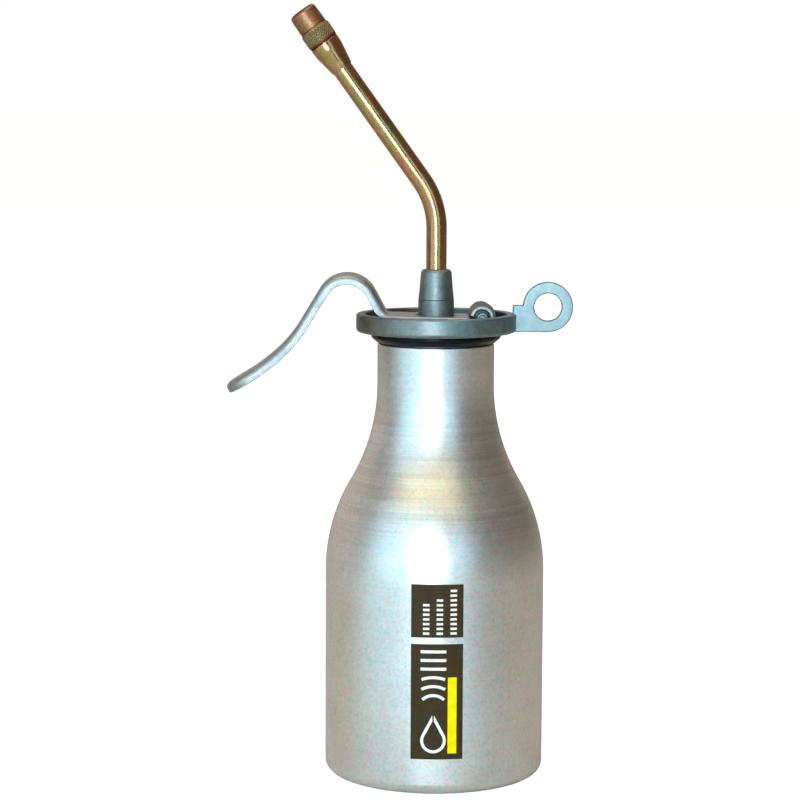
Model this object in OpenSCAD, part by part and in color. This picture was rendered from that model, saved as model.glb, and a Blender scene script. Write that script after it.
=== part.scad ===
// Hand pump oiler and sprayer: a seamless aluminium bottle with a die-cast pump cap, a thumb lever
// that presses the plunger, and a bent swivelling spout with an adjustable nozzle.
// Millimetres, +Z up. The origin is the centre of the bottle's base. The lever and the spout point
// to -X, the hanging eye to +X. All but the wider far hinge lug is symmetric about the XZ plane.

/* [Bottle] */
// Diameter of the bottle's body
body_d = 67; // [60:0.5:72]
// Diameter of the bottle's neck
neck_d = 35.6; // [35:0.1:36]
// Height at which the shoulder starts to curve in
shoulder_z = 62.5; // [55:0.5:66]
// Height at which the shoulder has become the straight neck
neck_z = 120; // [118:0.5:123]
// Height of the bottle's mouth
mouth_z = 132.4; // [132:0.1:132.4]
// Radius of the convex part of the shoulder
shoulder_r = 55; // [45:1:60]
// Radius of the corner between the wall and the base
base_corner_r = 3.5; // [2:0.1:5]
// Wall thickness of the bottle
bottle_wall = 1; // [0.8:0.1:1]

/* [Label] */
// Width of the label round the body
label_w = 15.4; // [10:0.1:20]
// Thickness of the label film
label_t = 0.12; // [0.1:0.01:0.3]
// Lowest and highest edge of the lower panel
label_low = [11.3, 46.1]; // [5:0.1:66]
// Lowest and highest edge of the upper panel
label_high = [48.1, 64]; // [5:0.1:66]
// Angle of the label's middle round the bottle, from -Y
label_turn = 0.8; // [-5:0.1:5]

/* [Cap] */
// Diameter of the cap's rim
cap_d = 48.6; // [48:0.1:50]
// Height of the rim's lower face
cap_z = 135.8; // [135.8:0.1:136.1]
// Height of the rim's upper face
rim_z = 141.4; // [141:0.1:141.6]
// Height of the recess floor
floor_z = 136.9; // [136.7:0.1:137]
// Thickness of the rim wall round the recess
rim_wall = 2.7; // [2:0.1:2.8]
// Height of the hanging eye's centre
eye_z = 143.5; // [142.5:0.1:144]
// Distance of the hanging eye's centre from the bottle's axis
eye_x = 34; // [33:0.1:36]
// Outer radius of the hanging eye
eye_r = 7.6; // [6.5:0.1:7.7]
// Radius of the hole in the hanging eye
eye_hole_r = 4.2; // [3:0.1:5]
// Thickness of the hanging eye
eye_t = 3; // [2:0.1:4]

/* [Lever] */
// Thickness of the lever's sheet
sheet = 1.2; // [1:0.1:1.4]
// Width of the lever's arm
arm_w = 16; // [14:0.5:16]
// Depth of the arm's folded edges, sheet included
arm_h = 3; // [2.4:0.1:3.2]
// Width of the plate between the plunger and the hinge
plate_w = 17.5; // [16:0.1:17.6]
// Distance of the hinge pin from the bottle's axis
hinge_x = 13.8; // [13.8:0.1:14.2]
// Height of the hinge pin
hinge_z = 140.8; // [140.7:0.1:141]
// Radius of the hinge pin
hinge_pin_r = 1; // [0.8:0.05:1.1]

/* [Spout] */
// Outer diameter of the spout tube
tube_d = 6.2; // [5:0.1:6.2]
// Wall thickness of the spout tube
tube_wall = 0.8; // [0.5:0.1:1]
// Height at which the spout tube starts to bend
bend_z = 167.2; // [162:0.2:176]
// Radius of the tube's bend, on its centre line
bend_r = 25; // [20:1:35]
// Angle of the bend
bend_a = 35.7; // [20:0.1:45]
// Length of the straight tube between the bend and the end fitting
reach = 41; // [30:1:50]
// Diameter of the nozzle's knurled band
knurl_d = 9.5; // [9.2:0.1:10]

/* [Pump] */
// Inner diameter of the pump barrel
bore_d = 14; // [13:0.1:14]
// Diameter of the plunger stem
stem_d = 6; // [5.6:0.1:6.2]
// Radial clearance of a sliding or turning fit
fit = 0.03; // [0.02:0.01:0.06]
// Turns of the return spring
return_turns = 5; // [4:0.5:6]
// Wire diameter of the return spring
return_wire = 1; // [0.8:0.1:1]

/* [Hidden] */
$fn = 96;
e = 0.01;

body_r = body_d / 2;
neck_r = neck_d / 2;
shoulder_h = neck_z - shoulder_z;
shoulder_a = 2 * atan((body_r - neck_r) / shoulder_h);
neck_curve_r = shoulder_h / sin(shoulder_a) - shoulder_r;
neck_bore_r = neck_r - bottle_wall;

cap_r = cap_d / 2;
recess_r = cap_r - rim_wall;
sleeve_r = 16.2;
sleeve_bore_r = 14.1;
sleeve_z = 119.5;
hub_z = 126.3;
pocket_r = 8.5;
pocket_z = 133.5;
guide_r = 4.5;
guide_z = 128.5;
lug_y = 9.1;
lug_t = 2.5;
lug_r = 1.6;
far_lug_r = 4.1;

curl_r = 3.5;
bush_r = curl_r - 1.1;
plate_hole_r = 6.2;
plate_rise = 0.65;
leg_a = 118.2;
arch_c = [-27.05, 143.8];
arch_r = 6.7;
arm_foot = 8.3;
arm_steep = 238.8;
arm_mid = 222.3;
arm_end = 209.5;
arm_straight = 11.9;
arm_r1 = 40.9;
arm_r2 = 66.2;
arm_tail = 5;
arm_corner_r = 7.2;

stem_r = stem_d / 2;
stem_bore_r = 1.5;
stem_low = 111.5;
stem_top = 137.1;
head_r = 5.45;
head_low = 135.1;
head_top = 145.6;
pin_z = 138.4;
pin_r = 1;
pin_y = [3.6, 8];
outlet_seat_z = 137.7;
outlet_seat_r = 1.2;
outlet_ball_r = 1.6;
outlet_room_r = 2.3;
swivel_r = 3.4;
swivel_low = 142.7;
clip_z = [142.95, 143.45];
ring_z = [143.9, 144.9];

barrel_r = bore_d / 2;
barrel_out_r = barrel_r + 1.6;
barrel_low = 98.5;
barrel_floor = 103.5;
barrel_top = 125.5;
flange_r = 11.5;
valve_r = 5;
valve_seat_z = 96.5;
valve_seat_r = 1.4;
inlet_ball_r = 2;
valve_room_r = 2.9;
cage_z = 100.5;
dip_r = 2.5;
dip_bore_r = 1.7;
dip_low = 8;
dip_top = 93.5;
strainer_r = 3.8;
strainer_low = 5;
piston_top = 117.5;
seal_z = [113.5, 115.5];

tube_r = tube_d / 2;
tube_low = 148.1;
collar_top = 154.9;
bend_c = [-bend_r, bend_z];
cone_l = 9.4;
cone_r = [3.4, 4.6];
spigot_r = 3.2;
spigot_l = 7.1;
nozzle_gap = 0.3;
knurl_l = 5.1;
nozzle_r = [4.4, 4.25];
nozzle_l = 6.4;

// Points on an arc round [x, y], from angle a to angle b
function arc(c, r, a, b, n = 12) =
    [for (i = [0:n]) c + r * [cos(a + (b - a) * i / n), sin(a + (b - a) * i / n)]];

function reversed(list) = [for (i = [len(list) - 1:-1:0]) list[i]];

// A ring round Z, or a disc where the inner radius is 0
module ring(outer, inner, low, high) {
    translate([0, 0, low])
        difference() {
            cylinder(r = outer, h = high - low);
            if (inner > 0)
                translate([0, 0, -e]) cylinder(r = inner, h = high - low + 2 * e);
        }
}

module turned(points) {
    rotate_extrude() polygon(points);
}

// Moves what is drawn along Z from the origin to the straight end of the spout, s from the bend
module on_spout(s) {
    translate([bend_c[0], 0, bend_c[1]])
        rotate([0, -bend_a, 0])
            translate([bend_r, 0, s])
                children();
}

// The bottle's side from the base to the mouth, moved inwards by t
function bottle_side(t) = concat(
    arc([body_r - base_corner_r, base_corner_r], base_corner_r - t, -90, 0, 8),
    arc([body_r - shoulder_r, shoulder_z], shoulder_r - t, 0, shoulder_a),
    [for (p = arc([neck_r + neck_curve_r, neck_z], neck_curve_r + t, 180 + shoulder_a, 180))
        if (p[1] > shoulder_z + shoulder_r * sin(shoulder_a)) p],
    [[neck_r - t, mouth_z]]);

module bottle() {
    color([0.8, 0.79, 0.77])
        turned(concat([[0, 0]], bottle_side(0), reversed(bottle_side(bottle_wall)),
            [[0, bottle_wall]]));
}

module label_panel(span) {
    half_a = asin(label_w / 2 / body_r);
    rotate([0, 0, label_turn - 90 - half_a])
        rotate_extrude(angle = 2 * half_a)
            translate([body_r, span[0]]) square([label_t, span[1] - span[0]]);
}

module label() {
    color([0.23, 0.2, 0.14]) {
        label_panel(label_low);
        label_panel(label_high);
    }
}

module seal_ring() {
    color([0.06, 0.06, 0.06])
        turned([[sleeve_r, mouth_z + 0.3], [18, mouth_z + 0.3], [19.2, mouth_z + 1.2],
            [19.7, mouth_z + 2.6], [19.7, cap_z], [sleeve_r, cap_z]]);
}

module cap_body() {
    turned([[0, hub_z], [sleeve_bore_r, hub_z], [sleeve_bore_r, sleeve_z], [sleeve_r, sleeve_z],
        [sleeve_r, cap_z], [cap_r - 1.2, cap_z], [cap_r - 0.35, cap_z + 0.35],
        [cap_r, cap_z + 1.2], [cap_r, rim_z - 0.8], [cap_r - 0.25, rim_z - 0.25],
        [cap_r - 0.8, rim_z], [recess_r + 0.3, rim_z], [recess_r, rim_z - 0.3],
        [recess_r, floor_z], [pocket_r, floor_z], [pocket_r, pocket_z], [0, pocket_z]]);
}

// Cast bearing lug for the hinge pin, from y outwards, with a round top of radius r at [x, z]
module hinge_lug(y, x, z, r) {
    translate([x, y + lug_t, 0])
        rotate([90, 0, 0])
            linear_extrude(lug_t) {
                translate([0, z]) circle(r = r);
                translate([-r, floor_z - e]) square([2 * r, z - floor_z + e]);
            }
}

module hanging_eye() {
    tab_top = rim_z + 2.6;
    tab_low = eye_z - eye_r;
    translate([0, eye_t / 2, 0])
        rotate([90, 0, 0])
            linear_extrude(eye_t) {
                translate([eye_x, eye_z]) circle(r = eye_r);
                translate([cap_r - 1, tab_low]) square([eye_x - cap_r + 1, tab_top - tab_low]);
            }
}

module pump_cap() {
    vent_x = -12.8;
    vent_r = 0.5;
    groove_pitch = 3;
    color([0.5, 0.51, 0.5])
        difference() {
            union() {
                cap_body();
                hanging_eye();
                hinge_lug(lug_y, hinge_x + 0.6, hinge_z - 1, far_lug_r);
                hinge_lug(-lug_y - lug_t, hinge_x, hinge_z, lug_r);
            }
            translate([0, 0, hub_z - e]) cylinder(r = guide_r, h = pocket_z - hub_z + 2 * e);
            translate([vent_x, 0, hub_z - e]) cylinder(r = vent_r, h = floor_z - hub_z + 2 * e);
            translate([hinge_x, lug_y + lug_t + e, hinge_z])
                rotate([90, 0, 0])
                    cylinder(r = hinge_pin_r, h = 2 * (lug_y + lug_t + e));
            translate([eye_x, eye_t, eye_z])
                rotate([90, 0, 0]) cylinder(r = eye_hole_r, h = 2 * eye_t);
            for (i = [0:3])
                translate([0, 0, sleeve_z + 1.5 + i * groove_pitch])
                    ring(sleeve_r + 1, sleeve_r - 0.6, 0, 1.2);
        }
}

module hinge_pin() {
    color([0.75, 0.76, 0.78])
        translate([hinge_x, lug_y + lug_t, hinge_z])
            rotate([90, 0, 0]) cylinder(r = hinge_pin_r, h = 2 * (lug_y + lug_t));
}

module hinge_bush() {
    color([0.1, 0.1, 0.1])
        translate([hinge_x, 0, hinge_z])
            rotate([90, 0, 0]) ring(bush_r, hinge_pin_r + fit, -plate_w / 2, plate_w / 2);
}

// The point that a curve of radius r round c passes when it heads to angle a
function on_left_turn(c, r, a) = c + r * [sin(a), -cos(a)];
function on_right_turn(c, r, a) = c + r * [-sin(a), cos(a)];
function heading(a) = [cos(a), sin(a)];

// Side view of the arm, t above the free edge of its folds: up the leg, over the arch and down
arm_knee = on_left_turn(arch_c, arch_r, leg_a) - arm_foot * heading(leg_a);
arm_c1 = on_left_turn(arch_c, arch_r, arm_steep) + arm_straight * heading(arm_steep)
    - on_right_turn([0, 0], arm_r1, arm_steep);
arm_c2 = on_right_turn(arm_c1, arm_r1, arm_mid) - on_right_turn([0, 0], arm_r2, arm_mid);

function arm_line(t) = concat(
    [arm_knee + t * [sin(leg_a), -cos(leg_a)]],
    [for (i = [0:16]) on_left_turn(arch_c, arch_r + t, leg_a + (arm_steep - leg_a) * i / 16)],
    [for (i = [0:8]) on_right_turn(arm_c1, arm_r1 - t, arm_steep + (arm_mid - arm_steep) * i / 8)],
    [for (i = [1:6]) on_right_turn(arm_c2, arm_r2 - t, arm_mid + (arm_end - arm_mid) * i / 6)],
    [on_right_turn(arm_c2, arm_r2 - t, arm_end) + arm_tail * heading(arm_end)]);

module across(width) {
    translate([0, width / 2, 0]) rotate([90, 0, 0]) linear_extrude(width) children();
}

// The arm's plan, with its rounded tip, drawn back by t on every side
module arm_plan(t) {
    tip_x = arm_line(arm_h)[len(arm_line(arm_h)) - 1][0] + t;
    half = arm_w / 2 - t;
    corner = arm_corner_r - t;
    polygon(concat([[0, half]], arc([tip_x + corner, half - corner], corner, 90, 180, 6),
        arc([tip_x + corner, corner - half], corner, 180, 270, 6), [[0, -half]]));
}

module lever_arm() {
    difference() {
        intersection() {
            across(arm_w) polygon(concat(arm_line(0), reversed(arm_line(arm_h))));
            linear_extrude(200) arm_plan(0);
        }
        intersection() {
            across(arm_w - 2 * sheet)
                polygon(concat(arm_line(-1), reversed(arm_line(arm_h - sheet))));
            translate([0, 0, -1]) linear_extrude(202) arm_plan(sheet);
        }
    }
}

module lever_plate() {
    low = hinge_z - 1.4;
    far = arm_knee[0] + 1.6;
    difference() {
        across(plate_w)
            polygon([[hinge_x - bush_r - 0.4, low], [hinge_x - bush_r - 0.4, low + sheet],
                [far, low + plate_rise + sheet], [arm_knee[0] + 0.3, low + plate_rise]]);
        translate([0, 0, low - 2]) cylinder(r = plate_hole_r, h = 6);
        translate([-9.4, 0, low - 2]) cylinder(r = 1.5, h = 6);
    }
}

module lever() {
    color([0.75, 0.77, 0.79]) {
        difference() {
            union() {
                lever_arm();
                lever_plate();
                translate([hinge_x, 0, hinge_z])
                    rotate([90, 0, 0]) ring(curl_r, 0, -plate_w / 2, plate_w / 2);
            }
            translate([hinge_x, plate_w, hinge_z])
                rotate([90, 0, 0]) cylinder(r = bush_r, h = 2 * plate_w);
        }
    }
}

module plunger_head() {
    color([0.47, 0.48, 0.48])
        difference() {
            turned([[0, head_low], [head_r - 0.4, head_low], [head_r, head_low + 0.4],
                [head_r, head_top], [0, head_top]]);
            translate([0, 0, head_low - e]) cylinder(r = stem_r, h = stem_top - head_low + e);
            translate([0, 0, stem_top - e]) cylinder(r = outlet_seat_r, h = 2);
            translate([0, 0, outlet_seat_z]) cylinder(r = outlet_room_r, h = 10);
            translate([0, 0, swivel_low - 0.3]) cylinder(r = swivel_r + fit, h = 10);
            translate([0, 0, clip_z[0] - 0.05])
                cylinder(r = swivel_r + 0.4, h = clip_z[1] - clip_z[0] + 0.1);
            for (side = [-1, 1])
                scale([1, side, 1])
                    translate([0, pin_y[0], pin_z])
                        rotate([-90, 0, 0]) cylinder(r = pin_r, h = 10);
        }
}

module drive_pins() {
    color([0.72, 0.73, 0.75])
        for (side = [0, 1])
            mirror([0, side, 0])
                translate([0, pin_y[0], pin_z])
                    rotate([-90, 0, 0]) cylinder(r = pin_r, h = pin_y[1] - pin_y[0]);
}

module plunger_stem() {
    color([0.78, 0.64, 0.36]) ring(stem_r, stem_bore_r, stem_low, stem_top);
}

module stem_guide() {
    color([0.8, 0.65, 0.35]) ring(guide_r, stem_r + fit, guide_z, pocket_z - 0.1);
}

module stem_seal() {
    color([0.08, 0.08, 0.08]) ring(guide_r, stem_r + 0.02, hub_z + 0.2, guide_z - 0.2);
}

module pump_barrel() {
    color([0.82, 0.67, 0.38])
        turned([[barrel_r, barrel_top], [barrel_r, barrel_floor], [valve_r, barrel_floor],
            [valve_r, barrel_low], [valve_r + 1.5, barrel_low], [valve_r + 1.5, barrel_floor - 1.5],
            [barrel_out_r, barrel_floor - 1.5], [barrel_out_r, barrel_top - 2],
            [flange_r, barrel_top - 2], [flange_r, barrel_top]]);
}

module barrel_gasket() {
    color([0.55, 0.33, 0.2]) ring(flange_r, stem_r + 0.5, barrel_top, hub_z);
}

module barrel_nut() {
    low = sleeve_z + 0.5;
    color([0.7, 0.71, 0.72])
        difference() {
            ring(sleeve_bore_r, barrel_out_r + 0.1, low, barrel_top - 2);
            for (a = [0:90:270])
                rotate([0, 0, a + 45])
                    translate([(sleeve_bore_r + barrel_out_r) / 2, 0, low - e])
                        cylinder(r = 1, h = 10);
        }
}

module piston() {
    piston_r = barrel_r - 0.3;
    color([0.85, 0.84, 0.8])
        difference() {
            ring(piston_r, stem_r, stem_low, piston_top);
            ring(piston_r + 1, piston_r - 1.4, seal_z[0], seal_z[1]);
        }
}

module piston_seal() {
    color([0.07, 0.07, 0.07])
        ring(barrel_r - fit, barrel_r - 1.7, seal_z[0], seal_z[1]);
}

// A coil of round wire from low to high with closed ends and flat-lying first and last turns
module coil(coil_r, wire_r, low, high, turns, steps, sides) {
    count = turns * steps;
    rise = high - low - 2 * wire_r;
    function share(i) = let (u = i / count) u * u * (3 - 2 * u) * 0.35 + u * 0.65;
    points = [for (i = [0:count], j = [0:sides - 1])
        let (a = 360 * i / steps, b = 360 * j / sides, r = coil_r + wire_r * cos(b))
            [r * cos(a), r * sin(a), low + wire_r + rise * share(i) + wire_r * sin(b)]];
    walls = [for (i = [0:count - 1], j = [0:sides - 1])
        let (k = (j + 1) % sides)
            [i * sides + j, (i + 1) * sides + j, (i + 1) * sides + k, i * sides + k]];
    first = [for (j = [0:sides - 1]) j];
    last = [for (j = [sides - 1:-1:0]) count * sides + j];
    polyhedron(points, concat([first, last], walls), convexity = 10);
}

module return_spring() {
    color([0.66, 0.67, 0.7])
        coil(barrel_r - 1.1, return_wire / 2, barrel_floor, stem_low, return_turns, 24, 8);
}

module foot_valve() {
    tail_low = dip_top - 7;
    color([0.8, 0.65, 0.36])
        difference() {
            turned([[0, tail_low], [3.6, tail_low], [3.6, valve_seat_z - 1], [valve_r + 1.5,
                valve_seat_z - 1], [valve_r + 1.5, barrel_low], [valve_r, barrel_low],
                [valve_r, barrel_floor - 0.2], [0, barrel_floor - 0.2]]);
            translate([0, 0, tail_low - e]) cylinder(r = dip_r, h = dip_top - tail_low + e);
            translate([0, 0, dip_top - e]) cylinder(r = valve_seat_r, h = 5);
            translate([0, 0, valve_seat_z]) cylinder(r = valve_room_r, h = 10);
        }
}

module inlet_ball() {
    lift = sqrt(pow(inlet_ball_r, 2) - pow(valve_seat_r, 2));
    color([0.8, 0.8, 0.82]) translate([0, 0, valve_seat_z + lift]) sphere(r = inlet_ball_r);
}

module ball_cage() {
    color([0.8, 0.65, 0.36])
        difference() {
            ring(valve_room_r, 0, cage_z, cage_z + 0.8);
            for (a = [0:120:240])
                rotate([0, 0, a]) translate([1.7, 0, cage_z - e]) cylinder(r = 0.7, h = 2);
        }
}

module dip_tube() {
    color([0.9, 0.9, 0.87]) ring(dip_r, dip_bore_r, dip_low, dip_top);
}

module strainer() {
    slot_w = 0.6;
    color([0.85, 0.84, 0.8])
        difference() {
            ring(strainer_r, 0, strainer_low, dip_low + 6);
            translate([0, 0, dip_low]) cylinder(r = dip_r, h = 10);
            translate([0, 0, strainer_low + 1]) cylinder(r = dip_r, h = 5);
            for (a = [0:60:120])
                rotate([0, 0, a])
                    translate([-5, -slot_w / 2, strainer_low + 1.2]) cube([10, slot_w, 1.4]);
        }
}

module outlet_ball() {
    lift = sqrt(pow(outlet_ball_r, 2) - pow(outlet_seat_r, 2));
    color([0.8, 0.8, 0.82]) translate([0, 0, outlet_seat_z + lift]) sphere(r = outlet_ball_r);
}

module outlet_spring() {
    ball_top = outlet_seat_z + sqrt(pow(outlet_ball_r, 2) - pow(outlet_seat_r, 2)) + 0.9;
    color([0.66, 0.67, 0.7]) coil(1.75, 0.2, ball_top, swivel_low, 3, 18, 6);
}

module swivel_seal() {
    mid = (ring_z[0] + ring_z[1]) / 2;
    wire = (ring_z[1] - ring_z[0]) / 2 - 0.05;
    color([0.05, 0.05, 0.05])
        rotate_extrude() translate([swivel_r + fit - wire, mid]) circle(r = wire, $fn = 32);
}

module swivel_clip() {
    color([0.7, 0.71, 0.73])
        difference() {
            ring(swivel_r + 0.3, swivel_r - 0.45, clip_z[0], clip_z[1]);
            translate([0, -0.6, clip_z[0] - 1]) cube([10, 1.2, 3]);
        }
}

module spout_collar() {
    color([0.47, 0.48, 0.48])
        turned([[stem_bore_r, swivel_low], [swivel_r, swivel_low], [swivel_r, clip_z[0]],
            [swivel_r - 0.5, clip_z[0]], [swivel_r - 0.5, clip_z[1]], [swivel_r, clip_z[1]],
            [swivel_r, ring_z[0]], [swivel_r - 0.9, ring_z[0]], [swivel_r - 0.9, ring_z[1]],
            [swivel_r, ring_z[1]], [swivel_r, head_top + 0.1], [5.2, head_top + 0.1],
            [5.4, head_top + 0.3], [5.1, collar_top - 6.4], [4.7, collar_top - 2.9],
            [4.55, collar_top - 1.5], [4.1, collar_top - 0.3], [3.6, collar_top],
            [tube_r, collar_top], [tube_r, tube_low], [stem_bore_r, tube_low]]);
}

module spout_tube() {
    bore_r = tube_r - tube_wall;
    color([0.62, 0.47, 0.24]) {
        ring(tube_r, bore_r, tube_low, bend_z);
        translate([bend_c[0], 0, bend_c[1]])
            rotate([90, 0, 0])
                rotate_extrude(angle = bend_a)
                    translate([bend_r, 0])
                        difference() {
                            circle(r = tube_r);
                            circle(r = bore_r);
                        }
        on_spout(0) ring(tube_r, bore_r, 0, reach + 5);
        // A band of a hundredth of a millimetre that makes the bend and the straight one solid
        on_spout(0) ring(tube_r + e, bore_r - e, -0.2, 0.2);
    }
}

module spout_tip() {
    color([0.6, 0.46, 0.24])
        on_spout(reach)
            turned([[tube_r, 0], [cone_r[0], 0], [cone_r[1] - 0.1, cone_l - 2.8],
                [cone_r[1], cone_l - 0.4], [cone_r[1] - 0.2, cone_l], [spigot_r, cone_l],
                [spigot_r, cone_l + spigot_l], [2, cone_l + spigot_l], [2, 5], [tube_r, 5]]);
}

nozzle_s = reach + cone_l + nozzle_gap;
room_l = spigot_l - nozzle_gap + 0.3;
core_l = 2.4;

module nozzle_cap() {
    end = knurl_l + nozzle_l;
    color([0.58, 0.42, 0.22])
        on_spout(nozzle_s)
            turned([[spigot_r + fit, 0], [knurl_d / 2 - 0.4, 0], [knurl_d / 2, 0.4],
                [knurl_d / 2, knurl_l - 0.4], [knurl_d / 2 - 0.4, knurl_l], [nozzle_r[0], knurl_l],
                [nozzle_r[1], end - 1.2], [nozzle_r[1] - 0.35, end - 0.35], [nozzle_r[1] - 1.2, end],
                [1.4, end], [0.4, end - 0.6], [0.4, room_l + 0.5 + core_l],
                [spigot_r + fit, room_l + 0.5 + core_l]]);
}

module nozzle_core() {
    color([0.85, 0.84, 0.8])
        on_spout(nozzle_s + room_l + 0.5)
            difference() {
                ring(spigot_r, 0.6, 0, core_l - 0.1);
                for (a = [0:90:270])
                    rotate([0, 0, a])
                        translate([2.7, -0.3, -1]) cube([2, 0.6, core_l + 2]);
            }
}

module nozzle_seal() {
    color([0.06, 0.06, 0.06]) on_spout(nozzle_s + room_l) ring(spigot_r, 1.6, 0, 0.5);
}

bottle();
label();
seal_ring();
pump_cap();
hinge_pin();
hinge_bush();
lever();
plunger_head();
drive_pins();
plunger_stem();
stem_guide();
stem_seal();
pump_barrel();
barrel_gasket();
barrel_nut();
piston();
piston_seal();
return_spring();
foot_valve();
inlet_ball();
ball_cage();
dip_tube();
strainer();
outlet_ball();
outlet_spring();
swivel_seal();
swivel_clip();
spout_collar();
spout_tube();
spout_tip();
nozzle_cap();
nozzle_core();
nozzle_seal();
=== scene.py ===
"""Hand pump oiler can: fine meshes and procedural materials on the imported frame."""
import math

import bmesh
import bpy
from mathutils import Matrix, Quaternion, Vector


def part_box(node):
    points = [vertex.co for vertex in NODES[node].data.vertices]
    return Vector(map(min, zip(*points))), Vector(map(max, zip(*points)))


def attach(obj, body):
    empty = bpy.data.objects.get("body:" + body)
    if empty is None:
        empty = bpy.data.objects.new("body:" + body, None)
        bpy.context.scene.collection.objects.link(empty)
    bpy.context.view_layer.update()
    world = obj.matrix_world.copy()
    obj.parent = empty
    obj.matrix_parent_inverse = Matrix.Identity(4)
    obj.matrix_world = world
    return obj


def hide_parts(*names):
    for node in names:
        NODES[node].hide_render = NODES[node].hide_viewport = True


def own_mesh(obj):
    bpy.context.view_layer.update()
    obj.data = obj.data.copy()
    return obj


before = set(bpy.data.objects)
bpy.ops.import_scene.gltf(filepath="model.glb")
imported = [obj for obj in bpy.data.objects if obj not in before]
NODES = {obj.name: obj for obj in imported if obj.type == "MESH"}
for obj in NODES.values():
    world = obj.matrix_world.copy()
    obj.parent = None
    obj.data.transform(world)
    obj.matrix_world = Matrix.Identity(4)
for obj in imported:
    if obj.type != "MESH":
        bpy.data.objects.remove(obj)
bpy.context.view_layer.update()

MM = 0.001

# ---------------------------------------------------------------- driving sizes, in millimetres


def span(node, axis):
    """The lowest and highest value of a CAD node along an axis (0, 1 or 2), in millimetres."""
    low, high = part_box(node)
    return low[axis] / MM, high[axis] / MM


BODY_R = span("bottle", 0)[1]
MOUTH_Z = span("bottle", 2)[1]
NECK_R = 17.8
WALL = 1.0
SHOULDER_Z, NECK_Z = 62.5, 120.0
SHOULDER_R = 55.0
BASE_CORNER_R = 3.5

LABEL_T = 0.12
LABEL_SPLIT = (46.1, 48.1)

CAP_R = 24.3
SLEEVE_R = 16.2
CAP_Z, RIM_Z, FLOOR_Z = 135.8, 141.4, 136.9
RECESS_R = 21.6
EYE = (34.0, 143.5)
EYE_R, EYE_HOLE_R, EYE_T = 7.6, 4.2, 3.0

HINGE = (13.8, 140.8)
PIN_R, FIT = 1.0, 0.03
LUG_Y, LUG_T = 9.1, 2.5
FAR_LUG_R, NEAR_LUG_R = 4.1, 1.6
SHEET = 1.2
ARM_H, ARM_W, PLATE_W = 3.0, 16.0, 17.5
BUSH_R = 2.4
PLATE_TILT = 1.4

HEAD_R, HEAD_LOW, HEAD_TOP = 5.45, 135.1, 145.6
COLLAR_TOP = 154.9
TUBE_R, TUBE_BORE_R = 3.1, 2.3
TUBE_LOW = 148.1
BEND_Z, BEND_R, BEND_A = 167.2, 25.0, math.radians(35.7)
REACH = 41.0
CONE_L = 9.4
NOZZLE_GAP = 0.3

# ---------------------------------------------------------------- outlines


def fillet(points, steps=6):
    """A closed or open outline of (x, y, corner radius) points with each corner rounded by an arc."""
    out = []
    count = len(points)
    for i, (x, y, r) in enumerate(points):
        here = Vector((x, y))
        if r <= 0:
            out.append(here)
            continue
        back = (Vector(points[i - 1][:2]) - here).normalized()
        ahead = (Vector(points[(i + 1) % count][:2]) - here).normalized()
        half = back.angle(ahead) / 2
        reach = r / math.tan(half)
        centre = here + (back + ahead).normalized() * (r / math.sin(half))
        a = here + back * reach - centre
        sweep = a.angle_signed(here + ahead * reach - centre)
        for k in range(steps + 1):
            turn = Matrix.Rotation(-sweep * k / steps, 2)
            out.append(centre + turn @ a)
    return out


def arc(cx, cy, r, start, end, steps=12):
    """Points on an arc, angles in degrees."""
    turn = [math.radians(start + (end - start) * k / steps) for k in range(steps + 1)]
    return [Vector((cx + r * math.cos(t), cy + r * math.sin(t))) for t in turn]


def bottle_side(inset):
    """The bottle's side from the base to the mouth, moved inwards."""
    rise = NECK_Z - SHOULDER_Z
    angle = 2 * math.atan((BODY_R - NECK_R) / rise)
    neck_curve = rise / math.sin(angle) - SHOULDER_R
    degrees = math.degrees(angle)
    corner = BASE_CORNER_R
    return (
        arc(BODY_R - corner, corner, corner - inset, -90, 0, 10)
        + arc(BODY_R - SHOULDER_R, SHOULDER_Z, SHOULDER_R - inset, 0, degrees, 28)
        + arc(NECK_R + neck_curve, NECK_Z, neck_curve + inset, 180 + degrees, 180, 28)[1:]
    )


# ---------------------------------------------------------------- mesh makers


def even_normals(piece):
    """Lets the large flat faces keep their own direction beside small rounded edges."""
    modifier = piece.modifiers.new("weight", "WEIGHTED_NORMAL")
    modifier.keep_sharp = True
    bpy.context.view_layer.update()
    seen = piece.evaluated_get(bpy.context.evaluated_depsgraph_get())
    result = bpy.data.meshes.new_from_object(seen)
    result.name = piece.name
    piece.modifiers.remove(modifier)
    old, piece.data = piece.data, result
    bpy.data.meshes.remove(old)


def new_piece(name, bm, material, body, replaces=(), smooth_angle=32, place=None):
    """Makes an object from a bmesh in millimetres, attaches it to its body and hides the CAD nodes it
    replaces.
    """
    bmesh.ops.remove_doubles(bm, verts=bm.verts, dist=1e-5)
    bmesh.ops.recalc_face_normals(bm, faces=bm.faces)
    mesh = bpy.data.meshes.new(name)
    bm.to_mesh(mesh)
    bm.free()
    if place is not None:
        mesh.transform(place)
    mesh.transform(Matrix.Scale(MM, 4))
    mesh.polygons.foreach_set("use_smooth", [True] * len(mesh.polygons))
    mesh.set_sharp_from_angle(angle=math.radians(smooth_angle))
    piece = bpy.data.objects.new(name, mesh)
    bpy.context.scene.collection.objects.link(piece)
    mesh.materials.append(material)
    even_normals(piece)
    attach(piece, body)
    if replaces:
        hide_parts(*replaces)
    return piece


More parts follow.
